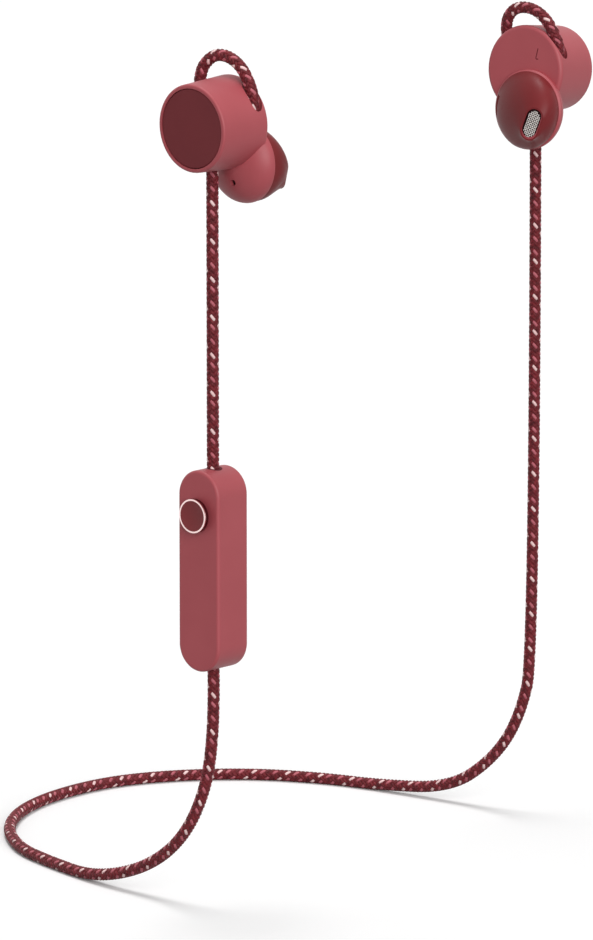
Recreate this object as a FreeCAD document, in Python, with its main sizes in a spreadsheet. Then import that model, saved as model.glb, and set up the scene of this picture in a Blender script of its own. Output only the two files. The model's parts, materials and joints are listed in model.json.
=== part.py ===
"""A pair of in-ear earphones joined by one braided cord with a control pod on it.

Row frame, in millimetres: the origin is the ear seat of the right bud, where an ear holds it.
+X runs from the right bud towards the left one, +Z is up, and -Y is the side that the wearer faces.
The left bud is the mirror image of the right one across a plane halfway, but hangs a little
more aslant.

Bud frame, used for the pieces of the right bud before they are placed: x runs along the drum from its
cap towards the ear, starting at the rim of the drum, and z is up.
Pod frame: x runs through the pod from its face to its back, z is up, and the origin is its middle.
"""
import FreeCAD
import Part
import Sketcher
import math
import os
import re
from FreeCAD import Placement, Rotation, Vector

os.makedirs("parts", exist_ok=True)
document = FreeCAD.newDocument("Earphones")

# Driving dimensions

sizes = document.addObject("Spreadsheet::Sheet", "Sizes")
DIMENSIONS = {
    "cord_diameter": (2.6, "braided cord, outside"),
    "cord_gap": (0.1, "between the cord and a hole it passes"),
    "bud_toe": (4.0, "degrees that the right bud turns its ear side forwards"),
    "bud_cant": (1.5, "degrees that the right bud hangs with its cap low"),
    "left_toe": (1.5, "the left bud's own toe, as it hangs"),
    "left_cant": (3.5, "the left bud's own cant, as it hangs"),
    "bud_spacing": (114.9, "between the two hanging cords"),
    "drum_radius": (10.05, "outside of the drum at its ear-side face"),
    "drum_taper": (0.65, "less than that at the rim"),
    "drum_length": (13.35, "rim to ear-side face"),
    "rim_round": (0.5, "rounding of the rim"),
    "face_round": (0.85, "rounding of the ear-side edge"),
    "mouth_radius": (8.55, "counterbore that takes the cap"),
    "mouth_depth": (3.2, "depth of that counterbore"),
    "bore_radius": (8.2, "inside of the drum"),
    "seat_step": (0.35, "ledge that the cap seats on"),
    "face_wall": (1.1, "thickness of the ear-side face"),
    "cap_gap": (0.12, "radial gap round the cap"),
    "cap_bevel": (0.15, "edge of the cap"),
    "cap_inset": (0.12, "cap face below the rim"),
    "cap_wall": (1.0, "thickness of the cap and its skirt"),
    "passage_radius": (3.2, "sound passage through the ear-side face"),
    "passage_y": (-1.0, "its place"),
    "passage_z": (-4.4, "its place"),
    "cord_hole_x": (7.03, "where the cord leaves the drum, from the rim"),
    "cord_hole_y": (0.72, "and behind the middle"),
    "bush_wall": (0.7, "rubber round the cord in the drum wall"),
    "bush_floor": (0.6, "closed end of the bush in the drum"),
    "bush_gap": (0.05, "round the cord in a bush"),
    "loop_gap": (0.3, "round the legs of the loop in the drum"),
    "seat_x": (14.0, "middle of the ear seat, from the rim of the drum"),
    "seat_y": (-2.3, "forward of the drum's axis"),
    "seat_z": (-8.6, "below the drum's axis"),
    "ear_axis_y": (-2.0, "ear body, forward of the drum's axis"),
    "ear_axis_z": (-8.6, "ear body, below the drum's axis"),
    "ear_radius": (8.9, "widest part of the ear body"),
    "ear_back": (9.2, "its back, from the rim of the drum"),
    "ear_widest": (14.0, "its widest part, from the rim of the drum"),
    "tip_start": (14.4, "where the ear tip meets the ear body"),
    "tip_radius": (8.55, "outside of both there"),
    "tip_wall": (0.95, "silicone of the ear tip"),
    "bulge_x": (16.5, "first section of the ear tip"),
    "bulge_y": (-3.85, "its middle"),
    "bulge_z": (-9.25, "its middle"),
    "bulge_half_width": (6.85, "its half width"),
    "bulge_half_height": (7.75, "its half height"),
    "brow_x": (18.75, "second section of the ear tip"),
    "brow_y": (-6.25, "its middle"),
    "brow_z": (-10.0, "its middle"),
    "brow_half_width": (4.05, "its half width"),
    "brow_half_height": (5.3, "its half height"),
    "nozzle_x": (19.9, "end of the nozzle, from the rim of the drum"),
    "nozzle_y": (-7.15, "its middle"),
    "nozzle_z": (-11.1, "its middle"),
    "nozzle_half_width": (2.2, "outside of the ear tip at the nozzle"),
    "nozzle_half_height": (3.8, "outside of the ear tip at the nozzle"),
    "nozzle_turn": (12.0, "degrees that its end faces forwards"),
    "nozzle_roll": (18.5, "degrees that its long side leans forwards"),
    "nozzle_lip": (0.3, "ear tip beyond the end of the nozzle"),
    "lip_wall": (0.35, "ear tip round the nozzle, and the nozzle's own wall"),
    "mesh_inset": (0.1, "mesh behind the end of the nozzle"),
    "mesh_thick": (0.2, "meshes"),
    "shell_wall": (1.0, "wall of the ear body"),
    "vent_radius": (0.65, "pressure vent in the back of the ear body"),
    "vent_reach": (3.0, "length that its drill needs"),
    "vent_depth": (1.2, "its screen, behind the back of the ear body"),
    "vent_y": (-2.7, "its place"),
    "vent_z": (-12.5, "its place"),
    "slit_x": (14.65, "slit in the back of the ear tip, from the rim of the drum"),
    "slit_width": (0.85, "along the drum's axis"),
    "slit_start": (76, "degrees from straight below the ear axis, backwards"),
    "slit_turn": (34, "degrees that it runs round"),
    "anchor_height": (2.0, "blocks that hold the ends of the loop"),
    "anchor_gap": (0.05, "between them and the loudspeaker unit"),
    "driver_radius": (6.5, "loudspeaker unit"),
    "driver_depth": (4.2, "loudspeaker unit, back to front"),
    "driver_start": (4.0, "back of the unit, from the rim of the drum"),
    "driver_rise": (1.0, "unit above the drum's axis"),
    "pod_width": (11.35, "across the face"),
    "pod_height": (43.65, "end to end"),
    "pod_depth": (9.65, "face to back"),
    "pod_top": (-65.3, "height of its top in the row frame"),
    "pod_toe": (2.5, "degrees that it turns like a bud"),
    "pod_wall": (1.1, "shell and back cover"),
    "pod_round": (0.65, "rounding of the face edge"),
    "cover_gap": (0.06, "round the back cover"),
    "cover_rim": (0.7, "rim of the cover inside the shell, deep"),
    "cover_rim_wall": (0.6, "its thickness"),
    "knob_radius": (3.65, "control knob"),
    "knob_drop": (9.53, "middle of the knob below the pod's top"),
    "knob_stand": (1.95, "knob above the face"),
    "knob_thick": (1.1, "knob disc"),
    "knob_dish": (0.4, "hollow in its top"),
    "knob_flare": (0.5, "where the stem widens under the knob, along it"),
    "ring_width": (0.34, "bright ring round the knob"),
    "ring_depth": (0.3, "bright ring, along the knob"),
    "stem_radius": (1.2, "stem of the knob"),
    "stem_gap": (0.04, "stem in the rocker"),
    "stem_reach": (0.5, "stem beyond the tilt axes"),
    "stem_hole_radius": (2.2, "hole in the face round the stem"),
    "pivot_depth": (2.35, "tilt axes below the pod's face"),
    "pin_radius": (0.35, "pins of the gimbal and the rocker"),
    "pin_gap": (0.03, "pins in their holes"),
    "frame_gap": (0.25, "between the rocker and the gimbal round it"),
    "switch_wall": (0.6, "walls of the switch base"),
    "switch_half": (3.8, "half the side of the switch base"),
    "dome_rise": (0.15, "snap dome above its floor"),
    "dome_sheet": (0.1, "its steel"),
    "board_thick": (0.8, "circuit board"),
    "board_depth": (4.2, "front of the board below the pod's face"),
    "board_half_width": (4.2, "circuit board"),
    "board_end": (4.225, "circuit board short of the pod's end"),
    "cell_thick": (2.6, "battery"),
    "cell_half_width": (3.9, "battery"),
    "cell_half_height": (11.0, "battery"),
    "cell_z": (-2.0, "its middle"),
    "cell_round": (0.8, "its corners"),
    "can_thick": (1.3, "shield of the radio"),
    "can_half_width": (3.2, "shield of the radio"),
    "can_half_height": (3.9, "shield of the radio"),
    "can_gap": (2.695, "shield below the switch"),
    "mic_thick": (1.1, "microphone"),
    "mic_half_width": (1.3, "microphone"),
    "mic_half_height": (1.8, "microphone"),
    "mic_edge": (1.4, "its middle from the edge of the board"),
    "socket_width": (7.5, "charging socket, along the pod"),
    "socket_height": (2.6, "charging socket, through the pod"),
    "socket_deep": (5.2, "charging socket, across the pod"),
    "socket_end": (8.9, "middle of the socket from the end of the board"),
    "socket_wall": (0.3, "sheet of the socket"),
    "mic_radius": (0.4, "opening of the microphone"),
    "mic_end": (2.2, "middle of the microphone from the end of the board"),
    "cord_depth": (1.4, "cord inside a bush"),
    "bush_collar": (0.5, "collar of a bush inside the pod"),
    "floor_level": (-162.6, "ground that the cord lies on"),
}
for row, (alias, (number, note)) in enumerate(DIMENSIONS.items(), start=1):
    sizes.set("A%d" % row, note)
    sizes.set("B%d" % row, str(number))
    sizes.setAlias("B%d" % row, alias)
document.recompute()


def formula(text):
    """A formula in the sheet's names, written out for the document."""
    return re.sub(r"[a-z]+(_[a-z]+)+", lambda word: "Sizes." + word.group(), text)


def value(text):
    """The number that a formula in the sheet's names gives now."""
    return float(sizes.evalExpression(formula(str(text))))


nodes = {}


def node(name, item, placement=None):
    """Name a finished sub-part and put it in place."""
    item.Label = name
    if placement is not None:
        item.Placement = placement
    nodes[name] = item
    return item


# Helpers for bodies and sketches

def new_body(name):
    return document.addObject("PartDesign::Body", name)


def new_sketch(body, name, role, offset=Vector()):
    """A sketch on one of the body's own planes, moved by an offset in the plane's axes."""
    sketch = body.newObject("Sketcher::SketchObject", name)
    plane = [item for item in body.Origin.OriginFeatures if item.Role == role][0]
    sketch.AttachmentSupport = [(plane, "")]
    sketch.MapMode = "FlatFace"
    sketch.AttachmentOffset = Placement(offset, Rotation())
    return sketch


def pin_down(sketch, item, point, across, up):
    """Hold a point of the sketch at two formulas."""
    for kind, text in (("DistanceX", across), ("DistanceY", up)):
        constraint = Sketcher.Constraint(kind, -1, 1, item, point, value(text))
        index = sketch.addConstraint(constraint)
        sketch.setExpression("Constraints[%d]" % index, formula(str(text)))


def polygon(sketch, corners):
    """A closed outline of straight runs through corners given as pairs of formulas."""
    points = [Vector(value(across), value(up), 0) for across, up in corners]
    count = len(corners)
    for index in range(count):
        sketch.addGeometry(Part.LineSegment(points[index], points[(index + 1) % count]))
    for index in range(count):
        sketch.addConstraint(Sketcher.Constraint("Coincident", index, 2, (index + 1) % count, 1))
        pin_down(sketch, index, 1, *corners[index])


def circle(sketch, across, up, radius):
    """A circle whose middle and radius are formulas."""
    middle = Vector(value(across), value(up), 0)
    item = sketch.addGeometry(Part.Circle(middle, Vector(0, 0, 1), value(radius)))
    pin_down(sketch, item, 3, across, up)
    index = sketch.addConstraint(Sketcher.Constraint("Radius", item, value(radius)))
    sketch.setExpression("Constraints[%d]" % index, formula(str(radius)))


def obround(sketch, across, up, half_width, half_height):
    """An upright slot shape with full-round ends, about a middle given by formulas."""
    middle = Vector(value(across), value(up), 0)
    radius = value(half_width)
    rise = Vector(0, value(half_height) - radius, 0)
    side = Vector(radius, 0, 0)
    top = Part.Circle(middle + rise, Vector(0, 0, 1), radius)
    bottom = Part.Circle(middle - rise, Vector(0, 0, 1), radius)
    upper = sketch.addGeometry(Part.ArcOfCircle(top, 0, math.pi))
    left = sketch.addGeometry(Part.LineSegment(middle - side + rise, middle - side - rise))
    lower = sketch.addGeometry(Part.ArcOfCircle(bottom, math.pi, 2 * math.pi))
    right = sketch.addGeometry(Part.LineSegment(middle + side - rise, middle + side + rise))
    for first, second in ((upper, left), (left, lower), (lower, right), (right, upper)):
        sketch.addConstraint(Sketcher.Constraint("Tangent", first, 2, second, 1))
    pin_down(sketch, upper, 3, across, "%s + %s - (%s)" % (up, half_height, half_width))
    pin_down(sketch, lower, 3, across, "%s - (%s) + %s" % (up, half_height, half_width))
    index = sketch.addConstraint(Sketcher.Constraint("Radius", upper, radius))
    sketch.setExpression("Constraints[%d]" % index, formula(str(half_width)))


def rectangle(sketch, across, up, half_width, half_height):
    """A rectangle about a middle given by formulas."""
    sides = [(-1, -1), (1, -1), (1, 1), (-1, 1)]
    polygon(sketch, [("%s + %d * (%s)" % (across, x, half_width), "%s + %d * (%s)" % (up, y, half_height))
                     for x, y in sides])


def feature(body, kind, name, sketch, **settings):
    """A PartDesign feature on a sketch; text settings that name sizes become expressions."""
    item = body.newObject("PartDesign::" + kind, name)
    item.Profile = sketch
    for key, setting in settings.items():
        if key == "Length":
            item.Length = value(setting)
            item.setExpression("Length", formula(str(setting)))
        else:
            setattr(item, key, setting)
    sketch.Visibility = False
    document.recompute()
    return item


def turned(name, corners):
    """A body turned about its x axis."""
    body = new_body(name)
    sketch = new_sketch(body, name + "_profile", "XY_Plane")
    polygon(sketch, corners)
    feature(body, "Revolution", name + "_turn", sketch, ReferenceAxis=(sketch, ["H_Axis"]), Angle=360.0)
    return body


def ring_corners(start, end, inner, outer):
    return [(start, inner), (end, inner), (end, outer), (start, outer)]


def round_edges(body, name, radius, chosen):
    """Fillet the edges of the body that a test picks."""
    document.recompute()
    shape = body.Shape
    names = ["Edge%d" % (number + 1) for number, edge in enumerate(shape.Edges) if chosen(edge)]
    fillet = body.newObject("PartDesign::Fillet", name)
    fillet.Base = (body.Tip if body.Tip != fillet else fillet.BaseFeature, names)
    fillet.Radius = value(radius)
    fillet.setExpression("Radius", formula(str(radius)))
    body.Tip = fillet
    document.recompute()
    return fillet


def circle_at(x, radius):
    """A test for a round edge about the x axis at a place and radius given by formulas."""
    def test(edge):
        curve = edge.Curve
        if not isinstance(curve, Part.Circle):
            return False
        return abs(curve.Center.x - value(x)) < 1e-4 and abs(curve.Radius - value(radius)) < 1e-4
    return test


def boolean(kind, name, base, tool):
    item = document.addObject("Part::" + kind, name)
    item.Base = base
    item.Tool = tool
    document.recompute()
    return item


def shaped(name, shape):
    """A feature whose shape is made here from the sheet's values."""
    item = document.addObject("Part::Feature", name)
    item.Shape = shape
    return item


# Cords: straight runs joined by tangent arcs

def path(points):
    """A wire through a route, with each corner rounded as far as its two runs allow."""
    edges = []
    radii = []
    start = points[0]
    for before, corner, after in zip(points, points[1:], points[2:]):
        arriving = (corner - before).normalize()
        leaving = (after - corner).normalize()
        turn = arriving.getAngle(leaving)
        reach = 0.45 * min((corner - before).Length, (after - corner).Length)
        radius = reach / math.tan(turn / 2)
        inward = (leaving - arriving).normalize()
        enter = corner - arriving * reach
        leave = corner + leaving * reach
        middle = corner + inward * (radius / math.cos(turn / 2) - radius)
        edges.append(Part.LineSegment(start, enter).toShape())
        edges.append(Part.Arc(enter, middle, leave).toShape())
        radii.append(radius)
        start = leave
    edges.append(Part.LineSegment(start, points[-1]).toShape())
    return Part.Wire(edges), radii


def tube(points, radius):
    """A solid of round section along a route."""
    wire, radii = path(points)
    section = Part.Wire(Part.Circle(points[0], points[1] - points[0], radius).toShape())
    return wire.makePipeShell([section], True, False), wire.Length, radii


def cord(name, points):
    """A free stretch of the cord; its radii and volume are printed."""
    radius = value("cord_diameter") / 2
    solid, length, radii = tube(points, radius)
    expected = math.pi * radius ** 2 * length
    least = " least radius %.1f," % min(radii) if radii else ""
    print("%s: length %.1f,%s volume %.1f of %.1f" % (name, length, least, solid.Volume, expected))
    if abs(solid.Volume / expected - 1) > 0.01:
        raise RuntimeError(name + " has the wrong volume")
    return node(name, shaped(name, solid))


# Where the buds and the pod hang

seat = Vector(value("seat_x"), value("seat_y"), value("seat_z"))


def hung(toe, cant):
    """Where a right bud with its seat at the origin hangs."""
    turn = Rotation(-value(toe), -value(cant), 0)
    return Placement(turn.multVec(seat).negative(), turn)


bud = hung("bud_toe", "bud_cant")
left_lean = hung("left_toe", "left_cant").multiply(bud.inverse())
drum_bottom = Vector(value("cord_hole_x"), value("cord_hole_y"), -value("drum_radius"))
right_exit = bud.multVec(drum_bottom)
middle_plane = Vector(right_exit.x + value("bud_spacing") / 2, 0, 0)
pod_middle = Vector(right_exit.x, right_exit.y, value("pod_top - pod_height / 2"))
pod = Placement(pod_middle, Rotation(-value("pod_toe"), 0, 0))


def on_left(point):
    """The place on the left bud that matches a placed point of the right one."""
    leant = left_lean.multVec(point)
    return Vector(2 * middle_plane.x - leant.x, leant.y, leant.z)


def in_bud(name, item):
    """Put a piece of the right bud in place and add its mirror image, leant as the left bud is."""
    node("right_" + name, item, bud.multiply(item.Placement))
    leant = document.addObject("Part::Compound", name + "_leant")
    leant.Links = [item]
    leant.Placement = left_lean
    mirror = document.addObject("Part::Mirroring", "left_" + name)
    mirror.Source = leant
    mirror.Normal = Vector(1, 0, 0)
    mirror.Base = middle_plane
    node("left_" + name, mirror)


# The drum and its cap

RIM_RADIUS = "drum_radius - drum_taper"


def drum_outline():
    """Rim, side and ear-side face of the drum, as a solid, with its two rounded edges."""
    body = turned("drum_form", [(0, 0), ("drum_length", 0), ("drum_length", "drum_radius"), (0, RIM_RADIUS)])
    round_edges(body, "drum_form_rim", "rim_round", circle_at(0, RIM_RADIUS))
    round_edges(body, "drum_form_face", "face_round", circle_at("drum_length", "drum_radius"))
    return body


def drum_shell(loop_routes):
    """A moulded cup, open at the rim, with holes for the sound, the cord and the two legs of the loop."""
    inside = "drum_length - face_wall"
    corners = [
        (0, "mouth_radius"), (0, RIM_RADIUS), ("drum_length", "drum_radius"), ("drum_length", 0),
        (inside, 0), (inside, "bore_radius"), ("driver_start", "bore_radius"),
        ("mouth_depth", "mouth_radius - seat_step"), ("mouth_depth", "mouth_radius"),
    ]
    body = turned("drum_cup", corners)
    round_edges(body, "drum_rim", "rim_round", circle_at(0, RIM_RADIUS))
    round_edges(body, "drum_face", "face_round", circle_at("drum_length", "drum_radius"))
    sketch = new_sketch(body, "passage_sketch", "YZ_Plane")
    circle(sketch, "passage_y", "passage_z", "passage_radius")
    feature(body, "Pocket", "passage", sketch, Type="ThroughAll", Reversed=True)
    sketch = new_sketch(body, "cord_hole_sketch", "XY_Plane")
    circle(sketch, "cord_hole_x", "cord_hole_y", "cord_diameter / 2 + bush_wall")
    feature(body, "Pocket", "cord_hole", sketch, Type="ThroughAll")
    right_slots, left_slots = [tube(route, value("cord_diameter / 2 + loop_gap"))[0] for route in loop_routes]
    return boolean("Cut", "drum_shell", body, shaped("loop_slots", right_slots.fuse(left_slots)))


def cap_disc():
    """The dark cap: a disc with a skirt that seats on the step of the mouth."""
    outer = "mouth_radius - cap_gap"
    inner = "mouth_radius - cap_gap - cap_wall"
    corners = [
        ("cap_inset", 0), ("cap_inset", outer + " - cap_bevel"), ("cap_inset + cap_bevel", outer),
        ("mouth_depth", outer), ("mouth_depth", inner),
        ("cap_inset + cap_wall", inner), ("cap_inset + cap_wall", 0),
    ]
    return turned("cap_disc", corners)


# The cord where it enters the drum

def cord_bush():
    """A rubber bush in the drum wall: flush outside and closed above the cord's end."""
    wall = "cord_diameter / 2 + bush_wall"
    body = new_body("cord_bush_form")
    sketch = new_sketch(body, "cord_bush_plug", "XY_Plane")
    circle(sketch, "cord_hole_x", "cord_hole_y", wall)
    feature(body, "Pad", "cord_bush_pad", sketch, Length="drum_radius + cord_gap", Reversed=True)
    sketch = new_sketch(body, "cord_bush_trim", "XY_Plane")
    circle(sketch, "cord_hole_x", "cord_hole_y", "cord_diameter / 2 + bush_wall * 2")
    feature(body, "Pocket", "cord_bush_top", sketch, Length="bore_radius - bush_floor * 3")
    bore = document.addObject("Part::Cylinder", "cord_bush_bore")
    bore.setExpression("Radius", formula("cord_diameter / 2 + bush_gap"))
    bore.setExpression("Height", formula("cord_depth * 2"))
    upright = Placement(right_exit - Vector(0, 0, value("cord_depth")), Rotation())
    bore.Placement = bud.inverse().multiply(upright)
    bored = boolean("Cut", "cord_bush_bored", body, bore)
    return boolean("Common", "cord_bush", bored, document.getObject("drum_form"))


# The ear body, its tip and the nozzle

def oval(middle, half_width, half_height, squareness, share):
    """A closed section of the ear tip in six arcs: two long sides and two at each end.

    squareness runs from 0 for an ellipse to 1 for a slot shape.
    share is how much of the nozzle's turn the section takes.
    """
    steep = math.radians(32)
    slope = (steep + math.pi / 2) / 2
    straight = half_height - half_width
    diagonal = half_width * math.sqrt(0.5)
    angles = (-steep, 0, steep, slope, math.pi / 2)
    ellipse = [(half_width * math.cos(angle), half_height * math.sin(angle)) for angle in angles]
    slot = [
        (half_width, -straight), (half_width, 0), (half_width, straight),
        (diagonal, straight + diagonal), (0, half_height),
    ]
    low, side, high, shoulder, top = [
        Vector(0, *oval_corner) * (1 - squareness) + Vector(0, *slot_corner) * squareness
        for oval_corner, slot_corner in zip(ellipse, slot)]

    def flip(point, across, up):
        return Vector(0, point.y * across, point.z * up)
    arcs = [
        (low, side, high), (high, shoulder, top), (top, flip(shoulder, -1, 1), flip(high, -1, 1)),
        (flip(high, -1, 1), flip(side, -1, 1), flip(low, -1, 1)),
        (flip(low, -1, 1), flip(shoulder, -1, -1), flip(top, 1, -1)),
        (flip(top, 1, -1), flip(shoulder, 1, -1), low),
    ]
    turn = Rotation(-value("nozzle_turn") * share, 0, 0)
    placement = Placement(middle, turn.multiply(Rotation(Vector(1, 0, 0), value("nozzle_roll"))))
    edges = []
    for arc in arcs:
        first, between, last = [placement.multVec(point) for point in arc]
        if (between - first).cross(last - between).Length < 1e-6:
            edges.append(Part.LineSegment(first, last).toShape())
        else:
            edges.append(Part.Arc(first, between, last).toShape())
    return Part.Wire(edges)


def nose(thick, thin, ruled=False):
    """The solid from the ear body's rim to the nozzle, taken in by thick at its start and thin at its end.

    A ruled one has straight flanks between its sections, for surfaces that nobody sees.
    """
    between = (thick + thin) / 2
    radius = value("tip_radius") - thick
    bulge_middle = Vector(value("bulge_x"), value("bulge_y"), value("bulge_z"))
    brow_middle = Vector(value("brow_x"), value("brow_y"), value("brow_z"))
    sections = [
        oval(Vector(value("tip_start"), value("ear_axis_y"), value("ear_axis_z")), radius, radius, 0, 0),
        oval(bulge_middle, value("bulge_half_width") - thick, value("bulge_half_height") - thick, 0, 0.4),
        oval(brow_middle, value("brow_half_width") - between, value("brow_half_height") - between, 0.5, 0.8),
        oval(nozzle_end(), value("nozzle_half_width") - thin, value("nozzle_half_height") - thin, 1, 1),
    ]
    return Part.makeLoft(sections, True, ruled)


def nozzle_end():
    return Vector(value("nozzle_x"), value("nozzle_y"), value("nozzle_z"))


def nozzle_slab(name, depth, thick):
    """A slab square to the nozzle, with its front face at a depth behind the nozzle's end."""
    slab = document.addObject("Part::Box", name)
    width = value("tip_radius * 3")
    slab.Length = value(thick)
    slab.Width = width
    slab.Height = width
    turn = Rotation(-value("nozzle_turn"), 0, 0)
    corner = turn.multVec(Vector(-value(depth) - value(thick), -width / 2, -width / 2))
    slab.Placement = Placement(nozzle_end() + corner, turn)
    return slab


def ear_dome(ear_axis):
    """The round part of the ear body: half an ellipsoid and a short neck."""
    half = document.addObject("Part::Ellipsoid", "ear_dome_half")
    half.setExpression("Radius1", formula("ear_widest - ear_back"))
    half.setExpression("Radius2", formula("ear_radius"))
    half.setExpression("Radius3", formula("ear_radius"))
    half.Angle1 = -90
    half.Angle2 = 0
    half.Placement = Placement(Vector(value("ear_widest"), 0, 0), Rotation(Vector(0, 1, 0), 90))
    neck = turned("ear_dome_neck", [
        ("ear_widest", 0), ("ear_widest", "ear_radius"), ("tip_start", "tip_radius"), ("tip_start", 0),
    ])
    dome = boolean("Fuse", "ear_dome", half, neck)
    dome.Placement = ear_axis
    return dome


def ear_hollow(ear_axis):
    """The room inside the round part, turned with straight flanks."""
    back = "ear_back + shell_wall * 1.6"
    hollow = turned("ear_hollow", [
        (back, 0), (back, "ear_radius / 2"), ("ear_widest", "ear_radius - shell_wall * 1.3"),
        ("tip_start", "tip_radius - tip_wall - shell_wall"), ("tip_start", 0),
    ])
    hollow.Placement = ear_axis
    return hollow


def tip_slit(ear_axis):
    """A sector that cuts the slit in the back of the ear tip."""
    sector = document.addObject("Part::Cylinder", "tip_slit")
    sector.setExpression("Radius", formula("tip_radius + tip_wall"))
    sector.setExpression("Height", formula("slit_width"))
    sector.setExpression("Angle", formula("slit_turn"))
    turn = Rotation(Vector(1, 0, 0), value("slit_start")).multiply(Rotation(Vector(0, 1, 0), 90))
    sector.Placement = ear_axis.multiply(Placement(Vector(value("slit_x"), 0, 0), turn))
    return sector


def vent_drill(name, depth, length):
    """A cylinder along the pressure vent in the back of the ear body."""
    drill = document.addObject("Part::Cylinder", name)
    drill.setExpression("Radius", formula("vent_radius"))
    drill.setExpression("Height", formula(length))
    start = Vector(value("ear_back") + value(depth), value("vent_y"), value("vent_z"))
    drill.Placement = Placement(start, Rotation(Vector(0, 1, 0), 90))
    return drill


def ear_pieces():
    """The moulded ear body, the silicone tip over its nose, the mesh in its nozzle and the vent's screen."""
    ear_axis = Placement(Vector(0, value("ear_axis_y"), value("ear_axis_z")), Rotation())
    dome = ear_dome(ear_axis)
    under_tip = shaped("under_tip", nose(value("tip_wall"), value("lip_wall"), True))
    trim = nozzle_slab("nozzle_trim", "nozzle_lip - tip_wall * 4", "tip_wall * 4")
    core = boolean("Cut", "ear_core", under_tip, trim)
    outside = boolean("Fuse", "ear_outside", dome, core)
    duct = shaped("ear_duct", nose(value("tip_wall + shell_wall"), value("lip_wall * 2"), True))
    hollow = boolean("Fuse", "ear_inside", ear_hollow(ear_axis), duct)
    shell = boolean("Cut", "ear_shell", outside, hollow)
    seated = boolean("Cut", "ear_shell_seated", shell, document.getObject("drum_form"))
    vented = boolean("Cut", "ear_body", seated, vent_drill("vent_hole", "0 - cord_gap", "vent_reach"))
    in_bud("ear_body", vented)
    tip_whole = boolean("Cut", "ear_tip_whole", shaped("tip_outside", nose(0, 0)), under_tip)
    in_bud("ear_tip", boolean("Cut", "ear_tip", tip_whole, tip_slit(ear_axis)))
    mesh_slab = nozzle_slab("mesh_slab", "nozzle_lip + mesh_inset", "mesh_thick")
    in_bud("nozzle_mesh", boolean("Common", "nozzle_mesh", duct, mesh_slab))
    in_bud("vent_screen", vent_drill("vent_screen", "vent_depth", "mesh_thick"))


# Blocks inside the drum that hold the ends of the loop

def loop_anchors(loop_route):
    """Two blocks moulded to the ear-side face, each square to the end of one leg of the loop."""
    width = value("cord_diameter") + value("cord_gap") * 2
    inside = value("drum_length - face_wall")
    blocks = []
    for end, before in ((loop_route[0], loop_route[1]), (loop_route[-1], loop_route[-2])):
        turn = Rotation(Vector(0, 0, -1), end - before)
        block = Part.makeBox(inside - end.x + width, width, value("anchor_height"))
        corner = end + turn.multVec(Vector(-width / 2, -width / 2, -value("anchor_height")))
        block.Placement = Placement(corner, turn)
        blocks.append(block)
    room = document.addObject("Part::Cylinder", "anchor_room")
    room.setExpression("Radius", formula("bore_radius"))
    room.setExpression("Height", formula("drum_length - face_wall"))
    room.Placement = Placement(Vector(), Rotation(Vector(0, 1, 0), 90))
    whole = shaped("anchor_blocks", Part.makeCompound(blocks))
    blocks_inside = boolean("Common", "anchors_inside", whole, room)
    unit = document.addObject("Part::Cylinder", "anchor_unit_room")
    unit.setExpression("Radius", formula("driver_radius + anchor_gap"))
    unit.setExpression("Height", formula("driver_start + driver_depth + anchor_gap"))
    unit.Placement = Placement(Vector(0, 0, value("driver_rise")), Rotation(Vector(0, 1, 0), 90))
    return boolean("Cut", "loop_anchors", blocks_inside, unit)


# The loudspeaker unit, about an axis a little above the drum's

def driver_pieces():
    """Basket, magnet system, coil, diaphragm, gasket and terminal board."""
    rise = Placement(Vector(0, 0, value("driver_rise")), Rotation())

    def profile(corners):
        """Corners given from the back of the unit and in from its outside."""
        return [("driver_start + %s" % along, "driver_radius - %s" % inwards) for along, inwards in corners]
    pieces = {
        "driver_frame": profile([
            (0.4, 1.4), (0.4, 0.6), (2.4, 0), ("driver_depth", 0), ("driver_depth", 0.5),
            (2.9, 0.5), (1.0, 1.4),
        ]),
        "driver_yoke": profile([
            (0, "driver_radius"), (0, 1.4), (2.6, 1.4), (2.6, 2.0), (0.6, 2.0), (0.6, "driver_radius"),
        ]),
        "driver_magnet": profile([(0.6, "driver_radius"), (0.6, 2.9), (2.0, 2.9), (2.0, "driver_radius")]),
        "driver_pole_plate": profile([
            (2.0, "driver_radius"), (2.0, 2.8), (2.6, 2.8), (2.6, "driver_radius"),
        ]),
        "voice_coil": profile([(1.8, 2.55), (3.5, 2.55), (3.5, 2.25), (1.8, 2.25)]),
        "diaphragm": profile([
            (4.0, "driver_radius"), (3.5, 2.55), (3.5, 2.25), (3.9, 1.4), (3.5, 0.5),
            (3.65, 0.5), (4.05, 1.4), (3.65, 2.3), (3.65, 2.5), (4.15, "driver_radius"),
        ]),
        "terminal_board": profile([(-0.4, "driver_radius"), (-0.4, 3), (0, 3), (0, "driver_radius")]),
    }
    for name, corners in pieces.items():
        body = turned(name, corners)
        body.Placement = rise
        in_bud(name, body)
    gasket = turned("driver_gasket_ring", ring_corners(
        "driver_start + 2.6", "driver_start + 3.8", "driver_radius", "bore_radius + driver_rise"))
    gasket.Placement = rise
    bore = turned("driver_gasket_bore", ring_corners(0, "drum_length", 0, "bore_radius"))
    whole = boolean("Common", "driver_gasket_whole", gasket, bore)
    notch = document.addObject("Part::Cylinder", "driver_gasket_notch")
    notch.setExpression("Radius", formula("cord_diameter / 2 + bush_wall * 1.5"))
    notch.setExpression("Height", formula("bore_radius - driver_radius + bush_wall * 3"))
    bottom = -value("bore_radius + bush_wall")
    notch.Placement = Placement(Vector(value("cord_hole_x"), value("cord_hole_y"), bottom), Rotation())
    in_bud("driver_gasket", boolean("Cut", "driver_gasket", whole, notch))


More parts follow.
